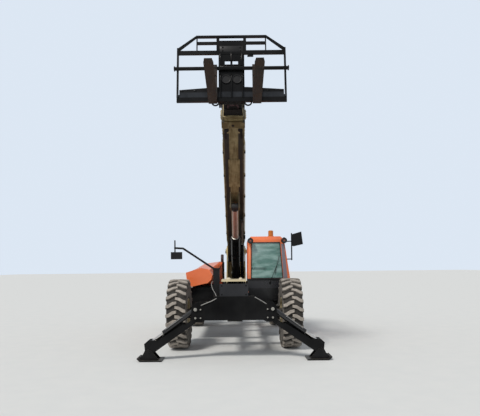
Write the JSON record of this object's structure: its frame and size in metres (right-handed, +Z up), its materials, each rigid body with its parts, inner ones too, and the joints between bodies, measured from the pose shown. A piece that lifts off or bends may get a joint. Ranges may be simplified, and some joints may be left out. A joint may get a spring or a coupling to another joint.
{
  "type": "telehandler",
  "caption": "Rough-terrain telehandler with a raised four-section telescopic boom, pallet forks on a wide carriage, side cab, engine hood and front outriggers.",
  "frame": {"origin": "ground level, at the centre of the bounding box in plan", "axes": "+Z up, -Y the way the machine drives forwards and the forks point, +X the machine's left, where the cab is"},
  "size_m": [3.3302, 7.5501, 5.5995],
  "materials": {
    "amber": "amber lens",
    "boom": "gloss cream paint",
    "chrome": "hard chrome rod",
    "exhaust": "heat-stained steel",
    "fabric": "seat cover",
    "frame": "gloss black paint",
    "glass": "tinted safety glass",
    "iron": "painted casting",
    "mirror": "black housing with mirror",
    "orange": "gloss orange paint",
    "plastic": "moulded black plastic",
    "red": "red lens",
    "rim": "satin cream paint",
    "steel": "worn black fork steel",
    "tyre": "dusty moulded rubber"
  },
  "bodies": {
    "chassis": {"main_frame": "boom", "stabilizer_beam": "frame", "nose_guard": "frame", "counterweight": "frame", "front_axle": "iron", "rear_axle": "iron", "cab_shell": "orange", "cab_glass": "glass", "cab_console": "plastic", "operator_seat": "fabric", "engine_bay": "frame", "engine_block": "iron", "fuel_tank": "frame", "exhaust": "exhaust", "mirror_right": "mirror", "mirror_left": "mirror", "work_lamp_right": "plastic", "work_lamp_left": "plastic", "beacon": "amber", "tail_lamp_right": "red", "tail_lamp_left": "red"},
    "outer_boom": {"boom_outer": "boom"},
    "first_inner_boom": {"boom_mid1": "boom"},
    "second_inner_boom": {"boom_mid2": "boom"},
    "fly_boom": {"boom_fly": "boom"},
    "carriage": {"carriage": "frame"},
    "fork_left": {"fork_left": "steel"},
    "fork_right": {"fork_right": "steel"},
    "door": {"cab_door": "orange", "door_glass": "glass"},
    "hood": {"hood": "orange"},
    "knuckle_front_left": {"knuckle_front_left": "iron"},
    "wheel_front_left": {"tyre_front_left": "tyre", "rim_front_left": "rim"},
    "knuckle_front_right": {"knuckle_front_right": "iron"},
    "wheel_front_right": {"tyre_front_right": "tyre", "rim_front_right": "rim"},
    "knuckle_rear_left": {"knuckle_rear_left": "iron"},
    "wheel_rear_left": {"tyre_rear_left": "tyre", "rim_rear_left": "rim"},
    "knuckle_rear_right": {"knuckle_rear_right": "iron"},
    "wheel_rear_right": {"tyre_rear_right": "tyre", "rim_rear_right": "rim"},
    "lift_barrel": {"lift_barrel": "frame"},
    "lift_rod": {"lift_rod": "chrome"},
    "slave_barrel": {"slave_barrel": "frame"},
    "slave_rod": {"slave_rod": "chrome"},
    "tilt_barrel": {"tilt_barrel": "frame"},
    "tilt_rod": {"tilt_rod": "chrome"},
    "leg_left": {"leg_left": "frame"},
    "pad_left": {"pad_left": "frame"},
    "leg_left_barrel": {"leg_barrel_left": "frame"},
    "leg_left_rod": {"leg_rod_left": "chrome"},
    "leg_right": {"leg_right": "frame"},
    "pad_right": {"pad_right": "frame"},
    "leg_right_barrel": {"leg_barrel_right": "frame"},
    "leg_right_rod": {"leg_rod_right": "chrome"}
  },
  "joints": [
    {"name": "steer_front_left", "type": "hinge", "parent": "chassis", "child": "knuckle_front_left", "pos_m": [0.82, -0.975, 0.685], "axis": [0, 0, 1], "range_deg": [-35, 35]},
    {"name": "spin_front_left", "type": "hinge", "parent": "knuckle_front_left", "child": "wheel_front_left", "pos_m": [1.1025, -0.975, 0.685], "axis": [-1, 0, 0], "continuous": true},
    {"name": "steer_front_right", "type": "hinge", "parent": "chassis", "child": "knuckle_front_right", "pos_m": [-0.82, -0.975, 0.685], "axis": [0, 0, 1], "range_deg": [-35, 35]},
    {"name": "spin_front_right", "type": "hinge", "parent": "knuckle_front_right", "child": "wheel_front_right", "pos_m": [-1.1025, -0.975, 0.685], "axis": [-1, 0, 0], "continuous": true},
    {"name": "steer_rear_left", "type": "hinge", "parent": "chassis", "child": "knuckle_rear_left", "pos_m": [0.82, 2.735, 0.685], "axis": [0, 0, 1], "range_deg": [-35, 35]},
    {"name": "spin_rear_left", "type": "hinge", "parent": "knuckle_rear_left", "child": "wheel_rear_left", "pos_m": [1.1025, 2.735, 0.685], "axis": [-1, 0, 0], "continuous": true},
    {"name": "steer_rear_right", "type": "hinge", "parent": "chassis", "child": "knuckle_rear_right", "pos_m": [-0.82, 2.735, 0.685], "axis": [0, 0, 1], "range_deg": [-35, 35]},
    {"name": "spin_rear_right", "type": "hinge", "parent": "knuckle_rear_right", "child": "wheel_rear_right", "pos_m": [-1.1025, 2.735, 0.685], "axis": [-1, 0, 0], "continuous": true},
    {"name": "boom_lift", "type": "hinge", "parent": "chassis", "child": "outer_boom", "pos_m": [0, 3.425, 2.05], "axis": [-1, 0, 0], "range_deg": [-40.5, 33.5]},
    {"name": "boom_extend", "type": "slide", "parent": "outer_boom", "child": "first_inner_boom", "axis": [0, -0.8039, 0.5948], "range_m": [0, 3.4]},
    {"name": "second_section_extend", "type": "slide", "parent": "first_inner_boom", "child": "second_inner_boom", "axis": [0, -0.8039, 0.5948], "range_m": [0, 3.4]},
    {"name": "fly_section_extend", "type": "slide", "parent": "second_inner_boom", "child": "fly_boom", "axis": [0, -0.8039, 0.5948], "range_m": [0, 3.4]},
    {"name": "lift_swing", "type": "hinge", "parent": "chassis", "child": "lift_barrel", "pos_m": [0, 3.275, 1.05], "axis": [-1, 0, 0], "range_deg": [-33.41, 27.67]},
    {"name": "lift_stroke", "type": "slide", "parent": "lift_barrel", "child": "lift_rod", "axis": [0, -0.7158, 0.6983], "range_m": [-0.5695, 0.4717]},
    {"name": "slave_swing", "type": "hinge", "parent": "chassis", "child": "slave_barrel", "pos_m": [0.172, 3.225, 1.15], "axis": [-1, 0, 0], "range_deg": [-30.98, 25.66]},
    {"name": "slave_stroke", "type": "slide", "parent": "slave_barrel", "child": "slave_rod", "axis": [0, -0.6757, 0.7372], "range_m": [-0.6932, 0.5741]},
    {"name": "carriage_tilt", "type": "hinge", "parent": "fly_boom", "child": "carriage", "pos_m": [0, -2.32515, 4.44013], "axis": [1, 0, 0], "range_deg": [-35, 90]},
    {"name": "tilt_swing", "type": "hinge", "parent": "fly_boom", "child": "tilt_barrel", "pos_m": [0, -1.30087, 5.42256], "axis": [1, 0, 0], "range_deg": [-1.1, 0.55]},
    {"name": "tilt_stroke", "type": "slide", "parent": "tilt_barrel", "child": "tilt_rod", "axis": [0, -0.7741, -0.6331], "range_m": [-0.0773, 0.1925]},
    {"name": "fork_left_slide", "type": "slide", "parent": "carriage", "child": "fork_left", "axis": [1, 0, 0], "range_m": [-0.125, 0.335]},
    {"name": "fork_right_slide", "type": "slide", "parent": "carriage", "child": "fork_right", "axis": [1, 0, 0], "range_m": [-0.445, 0.015]},
    {"name": "outrigger_left", "type": "hinge", "parent": "chassis", "child": "leg_left", "pos_m": [0.665, -2.225, 0.735], "axis": [0, -1, 0], "range_deg": [0, 100]},
    {"name": "leg_left_swing", "type": "hinge", "parent": "chassis", "child": "leg_left_barrel", "pos_m": [0.665, -2.225, 0.88], "axis": [0, -1, 0], "range_deg": [0, 102.2]},
    {"name": "leg_left_stroke", "type": "slide", "parent": "leg_left_barrel", "child": "leg_left_rod", "axis": [0.8084, 0, -0.5886], "range_m": [-0.2047, 0]},
    {"name": "outrigger_pad_left", "type": "hinge", "parent": "leg_left", "child": "pad_left", "pos_m": [1.49235, -2.225, 0.1557], "axis": [0, -1, 0], "range_deg": [-20, 20]},
    {"name": "outrigger_right", "type": "hinge", "parent": "chassis", "child": "leg_right", "pos_m": [-0.665, -2.225, 0.735], "axis": [0, 1, 0], "range_deg": [0, 100]},
    {"name": "leg_right_swing", "type": "hinge", "parent": "chassis", "child": "leg_right_barrel", "pos_m": [-0.665, -2.225, 0.88], "axis": [0, 1, 0], "range_deg": [0, 102.2]},
    {"name": "leg_right_stroke", "type": "slide", "parent": "leg_right_barrel", "child": "leg_right_rod", "axis": [-0.8084, 0, -0.5886], "range_m": [-0.2047, 0]},
    {"name": "outrigger_pad_right", "type": "hinge", "parent": "leg_right", "child": "pad_right", "pos_m": [-1.49235, -2.225, 0.1557], "axis": [0, 1, 0], "range_deg": [-20, 20]},
    {"name": "cab_door", "type": "hinge", "parent": "chassis", "child": "door", "pos_m": [1.225, 1.124, 1.6], "axis": [0, 0, 1], "range_deg": [0, 100]},
    {"name": "engine_hood", "type": "hinge", "parent": "chassis", "child": "hood", "pos_m": [-0.312, 0.8, 1.722], "axis": [0, 1, 0], "range_deg": [0, 55]}
  ],
  "couplings": [
    {"joint": "steer_front_right", "follows": "steer_front_left", "ratio": 1},
    {"joint": "steer_rear_right", "follows": "steer_rear_left", "ratio": 1},
    {"joint": "second_section_extend", "follows": "boom_extend", "ratio": 1},
    {"joint": "fly_section_extend", "follows": "boom_extend", "ratio": 1},
    {"joint": "lift_swing", "follows": "boom_lift", "ratio": 0.82},
    {"joint": "lift_stroke", "follows": "boom_lift", "m_per_rad": 0.8},
    {"joint": "slave_swing", "follows": "boom_lift", "ratio": 0.76},
    {"joint": "slave_stroke", "follows": "boom_lift", "m_per_rad": 0.975},
    {"joint": "tilt_swing", "follows": "carriage_tilt", "ratio": -0.01},
    {"joint": "tilt_stroke", "follows": "carriage_tilt", "m_per_rad": 0.12},
    {"joint": "leg_left_swing", "follows": "outrigger_left", "ratio": 1.02},
    {"joint": "leg_left_stroke", "follows": "outrigger_left", "m_per_rad": -0.115},
    {"joint": "leg_right_swing", "follows": "outrigger_right", "ratio": 1.02},
    {"joint": "leg_right_stroke", "follows": "outrigger_right", "m_per_rad": -0.115}
  ]
}
